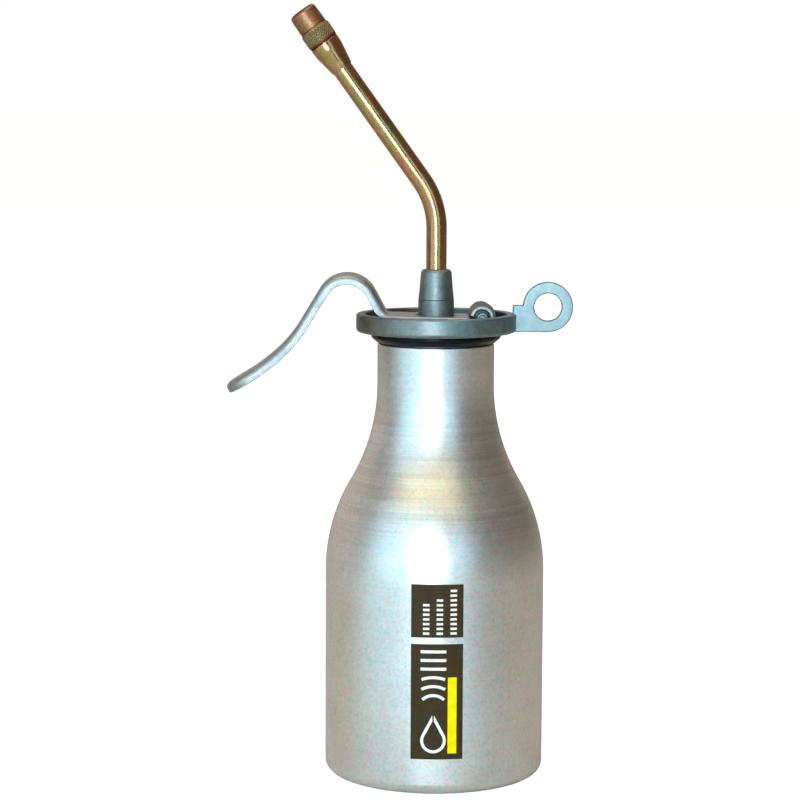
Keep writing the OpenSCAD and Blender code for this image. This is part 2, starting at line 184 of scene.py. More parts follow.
def lathe(profile, segments):
    """Turns a closed outline of (radius, height) points round Z."""
    bm = bmesh.new()
    rings = []
    for r, z in profile:
        if r < 1e-6:
            rings.append([bm.verts.new((0, 0, z))] * segments)
            continue
        turn = [2 * math.pi * k / segments for k in range(segments)]
        rings.append([bm.verts.new((r * math.cos(t), r * math.sin(t), z)) for t in turn])
    for i, ring in enumerate(rings):
        after = rings[(i + 1) % len(rings)]
        for k in range(segments):
            n = (k + 1) % segments
            corners = list(dict.fromkeys((ring[k], ring[n], after[n], after[k])))
            if len(corners) > 2:
                bm.faces.new(corners)
    return bm


def tube(bm, route, r, sides):
    """Sweeps an open-ended circle of radius r along route, a list of (point, tangent)."""
    loops = []
    side = Vector((0, 1, 0))
    for point, along in route:
        up = along.cross(side).normalized()
        across = up.cross(along).normalized()
        turn = [2 * math.pi * k / sides for k in range(sides)]
        loops.append([bm.verts.new(point + r * (math.cos(t) * up + math.sin(t) * across)) for t in turn])
    for a, b in zip(loops, loops[1:]):
        for k in range(sides):
            n = (k + 1) % sides
            bm.faces.new((a[k], a[n], b[n], b[k]))


def plate(bm, outline, holes, y_low, y_high, edge):
    """Adds a flat plate in XZ with through holes, from y_low to y_high, its edges bevelled by edge."""
    start = set(bm.edges)
    loops = []
    for points in (outline, *holes):
        verts = [bm.verts.new((x, y_low, z)) for x, z in points]
        loops.append([bm.edges.new((a, b)) for a, b in zip(verts, verts[1:] + verts[:1])])
    filled = bmesh.ops.triangle_fill(bm, edges=[e for loop in loops for e in loop], use_beauty=True)
    faces = [f for f in filled["geom"] if isinstance(f, bmesh.types.BMFace)]
    grown = bmesh.ops.extrude_face_region(bm, geom=faces)
    moved = [v for v in grown["geom"] if isinstance(v, bmesh.types.BMVert)]
    bmesh.ops.translate(bm, verts=moved, vec=(0, y_high - y_low, 0))
    rim = [
        e for e in bm.edges
        if e not in start and len(e.link_faces) == 2 and abs(e.calc_face_angle(0)) > 1.4
        and abs(e.verts[0].co.y - e.verts[1].co.y) < 1e-6
    ]
    bmesh.ops.bevel(bm, geom=rim, offset=edge, segments=3, profile=0.5, affect="EDGES")


def on_spout(s):
    """Places a piece made along Z on the straight end of the spout, s from the bend."""
    tilt = Matrix.Rotation(-BEND_A, 4, "Y")
    return Matrix.Translation((-BEND_R, 0, BEND_Z)) @ tilt @ Matrix.Translation((BEND_R, 0, s))


# ---------------------------------------------------------------- materials


class Nodes:
    """A short way to write a procedural material."""

    def __init__(self, name, **constants):
        self.material = bpy.data.materials.new(name)
        self.material.use_nodes = True
        self.tree = self.material.node_tree
        self.shader = self.tree.nodes["Principled BSDF"]
        for key, value in constants.items():
            self.shader.inputs[key.replace("_", " ")].default_value = value
        self.place = self.add("ShaderNodeTexCoord").outputs["Object"]

    def add(self, kind, **settings):
        node = self.tree.nodes.new(kind)
        for key, value in settings.items():
            setattr(node, key, value)
        return node

    def link(self, source, socket):
        self.tree.links.new(source, socket)

    def scaled(self, x, y, z):
        """Object coordinates multiplied along each axis, in features per metre."""
        node = self.add("ShaderNodeMapping")
        node.inputs["Scale"].default_value = (x, y, z)
        self.link(self.place, node.inputs["Vector"])
        return node.outputs["Vector"]

    def noise(self, scale, detail=4.0, rough=0.5, distort=0.0):
        node = self.add("ShaderNodeTexNoise")
        node.inputs["Scale"].default_value = 1.0
        node.inputs["Detail"].default_value = detail
        node.inputs["Roughness"].default_value = rough
        node.inputs["Distortion"].default_value = distort
        self.link(self.scaled(*scale), node.inputs["Vector"])
        return node.outputs["Fac"]

    def ramp(self, source, *stops):
        """Stops are (position, colour or grey level)."""
        node = self.add("ShaderNodeValToRGB")
        ramp = node.color_ramp
        while len(ramp.elements) < len(stops):
            ramp.elements.new(0.5)
        for element, (position, colour) in zip(ramp.elements, stops):
            element.position = position
            grey = isinstance(colour, (int, float))
            element.color = (colour, colour, colour, 1) if grey else (*colour, 1)
        self.link(source, node.inputs["Fac"])
        return node.outputs["Color"]

    def mix(self, share, a, b, blend="MIX"):
        node = self.add("ShaderNodeMix", data_type="RGBA", blend_type=blend)
        for socket, value in ((node.inputs[0], share), (node.inputs[6], a), (node.inputs[7], b)):
            if isinstance(value, bpy.types.NodeSocket):
                self.link(value, socket)
            else:
                socket.default_value = value if isinstance(value, float) else (*value, 1)
        return node.outputs[2]

    def math(self, operation, a, b=0.0):
        node = self.add("ShaderNodeMath", operation=operation)
        for socket, value in zip(node.inputs, (a, b)):
            if isinstance(value, bpy.types.NodeSocket):
                self.link(value, socket)
            else:
                socket.default_value = value
        return node.outputs[0]

    def range(self, source, low, high, to_low, to_high):
        node = self.add("ShaderNodeMapRange", clamp=True)
        for socket, value in zip(node.inputs[1:5], (low, high, to_low, to_high)):
            socket.default_value = value
        self.link(source, node.inputs["Value"])
        return node.outputs["Result"]

    def axis(self, letter):
        """One object coordinate, in metres."""
        node = self.add("ShaderNodeSeparateXYZ")
        self.link(self.place, node.inputs[0])
        return node.outputs[letter]

    def bump(self, *layers):
        """Layers are (height, strength, distance in millimetres), each on top of the one before."""
        normal = None
        for height, strength, distance in layers:
            node = self.add("ShaderNodeBump")
            node.inputs["Distance"].default_value = distance * MM
            if isinstance(strength, bpy.types.NodeSocket):
                self.link(strength, node.inputs["Strength"])
            else:
                node.inputs["Strength"].default_value = strength
            self.link(height, node.inputs["Height"])
            if normal is not None:
                self.link(normal, node.inputs["Normal"])
            normal = node.outputs["Normal"]
        self.link(normal, self.shader.inputs["Normal"])

    def set(self, socket, source):
        self.link(source, self.shader.inputs[socket])


def satin_aluminium():
    """Bare metal whose fine turned lines are strongest on the shoulder."""
    m = Nodes("satin_aluminium", Metallic=1.0)
    blotch = m.noise((60, 60, 40), 5, 0.6)
    speckle = m.noise((1100, 1100, 1100), 3, 0.6)
    lines = m.noise((10, 10, 2600), 4, 0.7)
    bands = m.noise((14, 14, 620), 3, 0.6)
    height = m.axis("Z")
    turned = m.range(height, 0.070, 0.082, 0.15, 1.0)
    fading = m.range(height, 0.100, 0.118, 1.0, 0.35)
    line_share = m.math("MULTIPLY", turned, fading)
    base = m.ramp(blotch, (0.3, (0.86, 0.85, 0.83)), (0.7, (0.96, 0.955, 0.945)))
    tint = m.noise((420, 420, 420), 4, 0.7)
    fleck = m.ramp(speckle, (0.36, (0.84, 0.88, 0.88)), (0.5, (0.97, 0.97, 0.97)), (0.62, (1.0, 1.0, 1.0)))
    hue = m.ramp(tint, (0.36, (0.83, 0.95, 0.94)), (0.5, (1.0, 1.0, 1.0)), (0.64, (1.0, 0.90, 0.88)))
    base = m.mix(0.8, base, fleck, "MULTIPLY")
    base = m.mix(0.9, base, hue, "MULTIPLY")
    streak = m.ramp(lines, (0.35, 0.80), (0.62, 1.0))
    base = m.mix(m.math("MULTIPLY", line_share, 0.7), base, streak, "MULTIPLY")
    band = m.ramp(bands, (0.36, (0.80, 0.78, 0.74)), (0.62, (1.0, 1.0, 1.0)))
    base = m.mix(m.math("MULTIPLY", line_share, 0.6), base, band, "MULTIPLY")
    m.set("Base Color", base)
    m.set("Roughness", m.range(speckle, 0.3, 0.7, 0.34, 0.45))
    m.bump((speckle, 0.12, 0.08), (lines, m.math("MULTIPLY", line_share, 0.25), 0.05))
    return m.material


def cast_zinc(name, light, dark, rough, eye_sheen_colour=None):
    """Dull cast metal with painted side light, warmer towards -X and bluer towards +X; the last argument
    paints a bluer reflection on the hanging eye's face.
    """
    m = Nodes(name, Metallic=1.0)
    cloud = m.noise((220, 220, 160), 6, 0.65)
    grain = m.noise((1700, 1700, 1700), 3, 0.6)
    base = m.ramp(cloud, (0.32, dark), (0.68, light))
    base = m.mix(0.7, base, m.ramp(grain, (0.3, 0.74), (0.65, 1.0)), "MULTIPLY")
    mottle = m.noise((560, 560, 560), 4, 0.7)
    stains = m.ramp(mottle, (0.36, (0.74, 0.90, 0.92)), (0.5, (1.0, 1.0, 1.0)), (0.64, (1.16, 1.04, 1.0)))
    base = m.mix(0.9, base, stains, "MULTIPLY")
    # Painted light: the metal is tinted warmer towards -X and bluer towards +X, a painted side light.
    across = m.range(m.axis("X"), -0.024, 0.024, 0.0, 1.0)
    side_light_tint = m.ramp(across, (0.0, (0.98, 0.90, 0.84)), (0.5, (0.95, 0.97, 0.97)), (0.75, (0.84, 1.12, 1.20)))
    base = m.mix(1.0, base, side_light_tint, "MULTIPLY")
    # Painted reflection: the hanging eye's flat face gets its own bluish colour, for the light it catches.
    if eye_sheen_colour:
        sheen_mottle = m.noise((420, 420, 420), 5, 0.7)
        eye_sheen = m.ramp(sheen_mottle, (0.34, tuple(c * 0.84 for c in eye_sheen_colour)), (0.62, eye_sheen_colour))
        base = m.mix(m.range(m.axis("X"), 0.0242, 0.0256, 0.0, 1.0), base, eye_sheen)
    m.set("Base Color", base)
    m.set("Roughness", m.range(cloud, 0.3, 0.7, rough - 0.06, rough + 0.08))
    m.bump((grain, 0.25, 0.06), (cloud, 0.15, 0.15))
    return m.material


def plated_steel(name, colour, rough, curl_shade_colour=None):
    """Clouded plating; the last argument paints shade on the skin of the lever's curl round the hinge."""
    m = Nodes(name, Metallic=1.0)
    cloud = m.noise((150, 150, 150), 5, 0.6)
    grain = m.noise((900, 900, 900), 3, 0.6)
    dark = tuple(c * 0.80 for c in colour)
    blue = (colour[0] * 0.93, colour[1] * 0.99, min(1.0, colour[2] * 1.04))
    base = m.ramp(cloud, (0.3, dark), (0.5, colour), (0.7, blue))
    base = m.mix(0.6, base, m.ramp(grain, (0.35, 0.78), (0.6, 1.0)), "MULTIPLY")
    if curl_shade_colour:
        # Painted shade: the outer skin of the curl round the hinge is darkened.
        x = m.math("SUBTRACT", m.axis("X"), HINGE[0] * MM)
        z = m.math("SUBTRACT", m.axis("Z"), HINGE[1] * MM)
        squares = m.math("ADD", m.math("MULTIPLY", x, x), m.math("MULTIPLY", z, z))
        radius = m.math("SQRT", squares)
        skin = (BUSH_R + SHEET) * MM
        shade = m.ramp(m.range(radius, skin - 0.0004, skin + 0.0016, 0.0, 1.0),
                       (0.0, 0.0), (0.10, 1.0), (0.25, 1.0), (0.6, 0.0))
        base = m.mix(shade, base, curl_shade_colour)
    m.set("Base Color", base)
    m.set("Roughness", m.range(cloud, 0.3, 0.7, rough - 0.05, rough + 0.1))
    m.bump((grain, 0.15, 0.04), (cloud, 0.12, 0.2))
    return m.material


def chromate(name, gold, green, red, rough, **extra):
    """A gold film that drifts to green and red; plain brass uses it with closer colours."""
    m = Nodes(name, Metallic=1.0, **extra)
    drift = m.noise((150, 150, 75), 5, 0.6, 0.6)
    wear = m.noise((500, 500, 350), 4, 0.6)
    grain = m.noise((1800, 1800, 900), 3, 0.6)
    base = m.ramp(drift, (0.36, red), (0.46, gold), (0.54, gold), (0.64, green))
    base = m.mix(0.6, base, m.ramp(wear, (0.3, 0.72), (0.62, 1.0)), "MULTIPLY")
    m.set("Base Color", base)
    m.set("Roughness", m.range(wear, 0.3, 0.7, rough - 0.05, rough + 0.12))
    m.bump((grain, 0.12, 0.05))
    return m.material


def nozzle_brass():
    """The turned part is copper brown and the knurled part olive; its back edge by the gap, the step after
    the knurl and its front edge are a darker red.
    """
    m = Nodes("nozzle_brass", Metallic=1.0)
    along = m.add("ShaderNodeVectorMath", operation="DOT_PRODUCT")
    m.link(m.place, along.inputs[0])
    along.inputs[1].default_value = (-math.sin(BEND_A), 0, math.cos(BEND_A))
    foot = BEND_R * math.sin(BEND_A) + BEND_Z * math.cos(BEND_A) + REACH + CONE_L + NOZZLE_GAP
    share = m.range(along.outputs["Value"], (foot - 1) * MM, (foot + 12) * MM, 0.0, 1.0)
    drift = m.noise((260, 260, 260), 5, 0.6)
    wear = m.noise((700, 700, 700), 4, 0.65)
    olive, copper, edge_dark_red = (0.35, 0.26, 0.125), (0.42, 0.205, 0.105), (0.20, 0.065, 0.032)
    base = m.ramp(share, (0.0, edge_dark_red), (0.10, edge_dark_red), (0.15, olive), (0.44, olive), (0.475, edge_dark_red),
                  (0.51, copper), (0.90, copper), (0.955, edge_dark_red), (1.0, edge_dark_red))
    base = m.mix(0.6, base, m.ramp(drift, (0.34, (1.0, 0.80, 0.74)), (0.6, (0.97, 1.0, 1.0))), "MULTIPLY")
    base = m.mix(0.5, base, m.ramp(wear, (0.32, 0.66), (0.6, 1.0)), "MULTIPLY")
    m.set("Base Color", base)
    m.set("Roughness", m.range(wear, 0.3, 0.7, 0.40, 0.52))
    m.bump((wear, 0.15, 0.05))
    return m.material


def moulded(name, colour, rough, grain_depth=0.05, **extra):
    m = Nodes(name, **extra)
    cloud = m.noise((300, 300, 300), 4, 0.6)
    grain = m.noise((2200, 2200, 2200), 2, 0.5)
    dark = tuple(c * 0.75 for c in colour)
    m.set("Base Color", m.ramp(cloud, (0.3, dark), (0.7, colour)))
    m.set("Roughness", m.range(cloud, 0.3, 0.7, rough - 0.06, rough + 0.08))
    m.bump((grain, 0.3, grain_depth))
    return m.material


ALUMINIUM = satin_aluminium()
ZINC_CAST = cast_zinc("zinc_cast", (0.33, 0.36, 0.36), (0.26, 0.285, 0.28), 0.42, (0.305, 0.395, 0.415))
ZINC_TURNED = cast_zinc("zinc_turned", (0.33, 0.375, 0.38), (0.26, 0.30, 0.30), 0.48)
ZINC_PLATED = plated_steel("zinc_plated", (0.44, 0.445, 0.445), 0.44, (0.17, 0.145, 0.135))
STEEL = plated_steel("steel_bright", (0.30, 0.32, 0.31), 0.50)
SPRING_STEEL = plated_steel("spring_steel", (0.55, 0.56, 0.58), 0.25)
CHROMATE = chromate("yellow_chromate", (0.55, 0.295, 0.115), (0.39, 0.31, 0.115), (0.60, 0.225, 0.125), 0.17,
                    Coat_Weight=0.6, Coat_Roughness=0.10)
NOZZLE_BRASS = nozzle_brass()
BRASS = chromate("brass_plain", (0.78, 0.60, 0.30), (0.72, 0.58, 0.30), (0.76, 0.55, 0.28), 0.25)
RUBBER = moulded("black_rubber", (0.003, 0.004, 0.005), 0.20, Specular_IOR_Level=0.15)
BLACK_ACETAL = moulded("black_acetal", (0.02, 0.02, 0.022), 0.35)
WHITE_ACETAL = moulded("white_acetal", (0.80, 0.79, 0.74), 0.4)
FIBRE = moulded("fibre_gasket", (0.40, 0.20, 0.10), 0.8, 0.1)
POLY = moulded("clear_poly", (0.80, 0.81, 0.78), 0.35, Transmission_Weight=0.5)
LABEL_INK = moulded("label_ink", (0.064, 0.042, 0.017), 0.5, 0.02, Specular_IOR_Level=0.12)
# Painted light: the white and yellow print glow a little, which makes them brighter than the lamps do.
LABEL_WHITE_GLOWING = moulded("label_white_glowing", (0.97, 0.95, 0.94), 0.5, 0.02, Emission_Color=(1, 0.94, 0.92, 1),
                      Emission_Strength=0.16)
LABEL_YELLOW_GLOWING = moulded("label_yellow_glowing", (1.0, 0.86, 0.0), 0.5, 0.02, Specular_IOR_Level=0.1,
                       Emission_Color=(1, 0.80, 0, 1), Emission_Strength=0.20)

# ---------------------------------------------------------------- bottle and label


def make_bottle():
    outside = bottle_side(0)
    inside = bottle_side(WALL)
    lip = arc(NECK_R - WALL / 2, MOUTH_Z - WALL / 2, WALL / 2, 0, 180, 6)
    profile = [Vector((0, 0))] + outside + lip + inside[::-1] + [Vector((0, WALL))]
    new_piece("bottle_shell", lathe(profile, 192), ALUMINIUM, "can", ("bottle",))


def wrapped(shape, columns, rows, low_r, high_r, bm=None):
    """A thin film on the bottle's front: shape(u, v) gives (across, height) for u and v from 0 to 1."""
    bm = bm or bmesh.new()
    sheets = []
    for r in (low_r, high_r):
        grid = []
        for i in range(columns + 1):
            column = []
            for j in range(rows + 1):
                across, z = shape(i / columns, j / rows)
                turn = across / BODY_R
                column.append(bm.verts.new((r * math.sin(turn), -r * math.cos(turn), z)))
            grid.append(column)
        for i in range(columns):
            for j in range(rows):
                bm.faces.new((grid[i][j], grid[i + 1][j], grid[i + 1][j + 1], grid[i][j + 1]))
        edge = [grid[i][0] for i in range(columns + 1)]
        edge += [grid[columns][j] for j in range(1, rows + 1)]
        edge += [grid[i][rows] for i in range(columns - 1, -1, -1)]
        edge += [grid[0][j] for j in range(rows - 1, 0, -1)]
        sheets.append(edge)
    for k, low in enumerate(sheets[0]):
        n = (k + 1) % len(sheets[0])
        bm.faces.new((low, sheets[0][n], sheets[1][n], sheets[1][k]))
    return bm


def bar(left, right, low, high):
    return lambda u, v: (left + (right - left) * u, low + (high - low) * v)


def drop(x, z, r, h, width):
    """The outline of a falling drop of radius r, left a little open at its tip, h above its middle."""
    lean = math.asin(r / h)

    def shape(u, v):
        side, t = (-1, 4 * u) if u < 0.5 else (1, 4 * (1 - u))
        if t < 1:
            s = 0.08 + 0.92 * t
            out, up = s * r * math.cos(lean), h + (r * math.sin(lean) - h) * s
        else:
            a = lean - (lean + math.pi / 2) * (t - 1)
            out, up = r * math.cos(a), r * math.sin(a)
        k = 1 - v * width / r
        return x + k * side * out, z + k * up
    return shape


def bow(x, z, r, start, end, width):
    """A curved stroke round (x, z), angles in degrees."""
    def shape(u, v):
        a, out = math.radians(start + (end - start) * u), r + width * (v - 0.5)
        return x + out * math.cos(a), z + out * math.sin(a)
    return shape


def make_label():
    low, high = span("label", 2)
    face_r = BODY_R + LABEL_T
    left, right = (BODY_R * math.asin(x / face_r) for x in span("label", 0))
    film = (BODY_R - 0.02, face_r)
    ink = (face_r - 0.01, face_r + 0.05)
    split_low, split_high = LABEL_SPLIT
    panels = wrapped(bar(left, right, low, split_low), 24, 1, *film)
    wrapped(bar(left, right, split_high, high), 24, 1, *film, bm=panels)
    new_piece("label_film", panels, LABEL_INK, "can", ("label",))

    white = bmesh.new()
    middle, stroke = -0.6, 0.9
    wrapped(drop(middle, 17.0, 3.8, 8.2, stroke), 64, 1, *ink, bm=white)
    for r, half_turn in ((4.5, 45), (7.2, 29), (9.9, 20.5)):
        wrapped(bow(middle, 26.2, r, 90 - half_turn, 90 + half_turn, stroke), 16, 1, *ink, bm=white)
    for low_z in (38.2, 40.8, 43.4):
        wrapped(bar(middle - 3.8, middle + 3.8, low_z, low_z + stroke), 8, 1, *ink, bm=white)
    for x, count in ((-2.8, 7), (1.2, 8), (5.3, 10)):
        for k in range(count):
            wrapped(bar(x - 0.95, x + 0.95, 49.0 + 1.42 * k, 49.7 + 1.42 * k), 3, 1, *ink, bm=white)
    new_piece("label_print_white", white, LABEL_WHITE_GLOWING, "can")
    yellow = wrapped(bar(3.7, 6.35, 13.1, 36.1), 4, 1, *ink)
    new_piece("label_print_yellow", yellow, LABEL_YELLOW_GLOWING, "can")


# ---------------------------------------------------------------- cap


def make_seal():
    low = MOUTH_Z + 0.3
    profile = fillet([
        (SLEEVE_R, low, 0), (18.0, low, 0.5), (19.75, low + 1.5, 1.0), (19.75, CAP_Z, 0),
        (SLEEVE_R, CAP_Z, 0)])
    new_piece("seal_ring_round", lathe(profile, 160), RUBBER, "head", ("seal_ring",))


def cap_profile():
    hub_z, sleeve_z, bore_r = 126.3, 119.5, 14.1
    pocket_r, pocket_z, guide_r = 8.5, 133.5, 4.5
    thread = []
    for k in range(4):
        z = sleeve_z + 1.5 + 3 * k
        thread += [(SLEEVE_R, z, 0.15), (SLEEVE_R - 0.6, z + 0.3, 0.15),
                   (SLEEVE_R - 0.6, z + 0.9, 0.15), (SLEEVE_R, z + 1.2, 0.15)]
    return fillet([
        (guide_r, hub_z, 0), (bore_r, hub_z, 0.5), (bore_r, sleeve_z, 0.3), (SLEEVE_R, sleeve_z, 0.3),
        *thread, (SLEEVE_R, CAP_Z, 0), (CAP_R, CAP_Z, 1.1), (CAP_R, RIM_Z, 0.7), (RECESS_R, RIM_Z, 0.45),
        (RECESS_R - 0.25, FLOOR_Z, 0.8), (pocket_r, FLOOR_Z, 0.3), (pocket_r, pocket_z, 0.3),
        (guide_r, pocket_z, 0.2)])


def make_cap():
    bm = lathe(cap_profile(), 192)
    low, top = EYE[1] - EYE_R, RIM_Z + 2.6
    turn = math.degrees(math.acos((top - EYE[1]) / EYE_R))
    eye = arc(*EYE, EYE_R, -90, 90 + turn, 56)
    neck = [(CAP_R - 1, top), (CAP_R - 1, low)]
    hole = arc(*EYE, EYE_HOLE_R, 0, 360, 48)[:-1]
    plate(bm, eye + [Vector(p) for p in neck], [hole], -EYE_T / 2, EYE_T / 2, 0.35)
    for y, x, z, r in ((LUG_Y, HINGE[0] + 0.6, HINGE[1] - 1, FAR_LUG_R),
                       (-LUG_Y - LUG_T, *HINGE, NEAR_LUG_R)):
        lug = arc(x, z, r, 0, 180, 32)
        lug += [Vector((x - r, FLOOR_Z - 0.4)), Vector((x + r, FLOOR_Z - 0.4))]
        pin_hole = arc(*HINGE, PIN_R, 0, 360, 24)[:-1]
        plate(bm, lug, [pin_hole], y, y + LUG_T, 0.2)
    new_piece("pump_cap_cast", bm, ZINC_CAST, "head", ("pump_cap",))


def along_y(x, z, y_low):
    """Places a piece made along Z so that it lies along Y, starting at y_low."""
    return Matrix.Translation((x, y_low, z)) @ Matrix.Rotation(-math.pi / 2, 4, "X")


def make_hinge():
    length = 2 * (LUG_Y + LUG_T)
    profile = fillet([(0, 0, 0), (PIN_R, 0, 0.25), (PIN_R, length, 0.25), (0, length, 0)])
    new_piece("hinge_pin_round", lathe(profile, 48), STEEL, "head", ("hinge_pin",),
              place=along_y(*HINGE, -length / 2))
    bore_r = PIN_R + FIT
    profile = fillet([
        (bore_r, 0, 0.1), (BUSH_R, 0, 0.25), (BUSH_R, PLATE_W, 0.25), (bore_r, PLATE_W, 0.1)])
    new_piece("hinge_bush_round", lathe(profile, 64), BLACK_ACETAL, "thumb_lever",
              ("hinge_bush",), place=along_y(*HINGE, -PLATE_W / 2))


# ---------------------------------------------------------------- lever


def walk(start, heading, moves, step=0.7, step_angle=7.0):
    """Follows ("line", length) and ("turn", radius, degrees) moves; a positive turn goes left.

    Gives a list of (distance, point, heading in radians).
    """
    at, facing, gone = Vector(start), math.radians(heading), 0.0
    stations = [(gone, at.copy(), facing)]
    for kind, size, *angle in moves:
        if kind == "line":
            count = max(1, math.ceil(size / step))
            for _ in range(count):
                at = at + Vector((math.cos(facing), math.sin(facing))) * (size / count)
                gone += size / count
                stations.append((gone, at.copy(), facing))
            continue
        turn = math.radians(angle[0])
        side = 1 if turn > 0 else -1
        centre = at + side * size * Vector((-math.sin(facing), math.cos(facing)))
        count = max(2, math.ceil(abs(angle[0]) / step_angle), math.ceil(size * abs(turn) / step))
        for _ in range(count):
            facing += turn / count
            gone += size * abs(turn) / count
            at = centre - side * size * Vector((-math.sin(facing), math.cos(facing)))
            stations.append((gone, at.copy(), facing))
    return stations


def crossing(p, a, q, b):
    """Where the line through p at angle a meets the line through q at angle b, in degrees."""
    da = Vector((math.cos(math.radians(a)), math.sin(math.radians(a))))
    db = Vector((math.cos(math.radians(b)), math.sin(math.radians(b))))
    gap = q - p
    return p + da * (gap.cross(db) / da.cross(db))


def lever_stations():
    """The lever's upper face from the free end of its curl to its tip."""
    arch_centre, arch_r = Vector((-27.05, 143.8)), 6.7 + ARM_H
    leg, steep, middle, end = 118.2, 238.8, 222.3, 209.5
    curl_start, curl_turn = 170.0, 315.0
    flat = 180 - PLATE_TILT
    neck_r, knee_r = 2.9, 1.6
    centre = Vector(HINGE)
    a = math.radians(curl_start)
    start = centre + BUSH_R * Vector((math.cos(a), math.sin(a)))
    out_heading = curl_start - 90 - curl_turn + 360
    roll = walk(start, curl_start - 90, [("turn", BUSH_R, -curl_turn), ("turn", neck_r, flat - out_heading)])
    plate_start = roll[-1][1]
    leg_end = arch_centre + arch_r * Vector((math.sin(math.radians(leg)), -math.cos(math.radians(leg))))
    corner = crossing(plate_start, flat, leg_end, leg)
    trim = knee_r * math.tan(math.radians((flat - leg) / 2))
    moves = [
        ("turn", BUSH_R, -curl_turn),
        ("turn", neck_r, flat - out_heading),
        ("line", (corner - plate_start).length - trim),
        ("turn", knee_r, leg - flat),
        ("line", (leg_end - corner).length - trim),
        ("turn", arch_r, steep - leg),
        ("line", 11.9),
        ("turn", 40.9 - ARM_H, middle - steep),
        ("turn", 66.2 - ARM_H, end - middle),
        ("line", 5.0),
    ]
    return walk(start, curl_start - 90, moves), (corner - plate_start).length - trim + roll[-1][0]


def smooth(x, low, high):
    t = min(1.0, max(0.0, (x - low) / (high - low)))
    return t * t * (3 - 2 * t)


def make_lever():
    stations, knee_at = lever_stations()
    total = stations[-1][0]
    corner_r, tip_half = 7.2, ARM_W / 2
    across = 12
    arc_steps = 6
    corner_steps = 10

    def locate(u):
        for (u0, p0, h0), (u1, p1, h1) in zip(stations, stations[1:]):
            if u <= u1 + 1e-9:
                t = (u - u0) / (u1 - u0)
                heading = h0 + (h1 - h0) * t
                return p0.lerp(p1, t), Vector((math.sin(heading), -math.cos(heading)))
        u0, p0, h0 = stations[-1]
        return p0 + (u - u0) * Vector((math.cos(h0), math.sin(h0))), Vector((math.sin(h0), -math.cos(h0)))

    def half_width(u):
        return PLATE_W / 2 + (tip_half - PLATE_W / 2) * smooth(u, knee_at - 3, knee_at + 3)

    def fold(u):
        return 0.15 + (ARM_H - SHEET - 0.15) * smooth(u, knee_at - 0.5, knee_at + 3.5)

    def outer_chain(u):
        """(inset, depth) from the fold's free edge to the flat top."""
        f = fold(u)
        depth, edge = SHEET + f, 0.18
        r = 0.35 + 1.3 * (f - 0.15) / (ARM_H - SHEET - 0.15)
        turn = [math.pi / 2 * k / arc_steps for k in range(arc_steps + 1)]
        start = [(0.45, depth), (edge, depth), (edge * 0.3, depth - edge * 0.3), (0, depth - edge)]
        return start + [(r - r * math.cos(t), r - r * math.sin(t)) for t in turn]

    def inner_chain(u):
        f = fold(u)
        depth, edge, r = SHEET + f, min(0.18, 0.4 * f), 0.4 * f
        turn = [math.pi / 2 * k / arc_steps for k in range(arc_steps + 1)]
        start = [(0.55, depth), (SHEET - edge, depth), (SHEET - edge * 0.3, depth - edge * 0.3),
                 (SHEET, depth - edge)]
        return start + [(SHEET + r - r * math.cos(t), SHEET + r - r * math.sin(t)) for t in turn]

    bm = bmesh.new()

    def vertex(u, y, depth):
        point, normal = locate(u)
        at = point - normal * depth
        return bm.verts.new((at.x, y, at.y))

    straight = [u for u, _, _ in stations if u < total - corner_r - 0.05] + [total - corner_r]

    def loop(chain, k):
        """The left edge, right edge and tip of one line of the chain along the lever."""
        left, right = [], []
        for u in straight:
            inset, depth = chain(u)[k]
            half = half_width(u) - inset
            left.append(vertex(u, -half, depth))
            right.append(vertex(u, half, depth))
        inset, depth = chain(total)[k]
        for j in range(1, corner_steps + 1):
            t = math.pi / 2 * j / corner_steps
            u = total - corner_r + (corner_r - inset) * math.sin(t)
            half = tip_half - corner_r + (corner_r - inset) * math.cos(t)
            left.append(vertex(u, -half, depth))
            right.append(vertex(u, half, depth))
        reach = tip_half - corner_r
        end = [vertex(total - inset, reach * (2 * j / across - 1), depth) for j in range(1, across)]
        return left, right, [left[-1], *end, right[-1]]

    def quads(a, b):
        for p, q, r, s in zip(a, a[1:], b[1:], b):
            bm.faces.new((p, q, r, s))

    sections = []
    for chain in (outer_chain, inner_chain):
        loops = [loop(chain, k) for k in range(len(chain(0)))]
        for a, b in zip(loops, loops[1:]):
            quads(a[0], b[0])
            quads(b[1], a[1])
            quads(a[2], b[2])
        left, right, end = loops[-1]
        rows = []
        for p, q in zip(left[:-1], right[:-1]):
            between = [bm.verts.new(p.co.lerp(q.co, j / across)) for j in range(1, across)]
            rows.append([p, *between, q])
        rows.append(end)
        for a, b in zip(rows, rows[1:]):
            quads(a, b)
        sections.append((loops, rows))
    outer, inner = (loops for loops, _ in sections)
    quads(outer[0][0], inner[0][0])
    quads(inner[0][1], outer[0][1])
    quads(outer[0][2], inner[0][2])
    chains = []
    for loops, rows in sections:
        chains.append([a[0][0] for a in loops] + rows[0][1:-1] + [a[1][0] for a in reversed(loops)])
    quads(chains[0], chains[1])

    lever = new_piece("lever_pressed", bm, ZINC_PLATED, "thumb_lever", ("lever",), 40)
    top = HINGE[1] + 0.15
    slope = math.radians(PLATE_TILT)
    flare = 0.3
    for x, r in ((0, 6.2), (-9.4, 1.5)):
        profile = [Vector(p) for p in (
            (0, -3), (r, -3), (r, -flare), (r + flare, 0.02), (r + flare + 3, 3), (0, 3))]
        middle = Matrix.Translation((x, 0, top - x * math.tan(slope)))
        cut_hole(lever, lathe(profile, 64), middle @ Matrix.Rotation(slope, 4, "Y"))


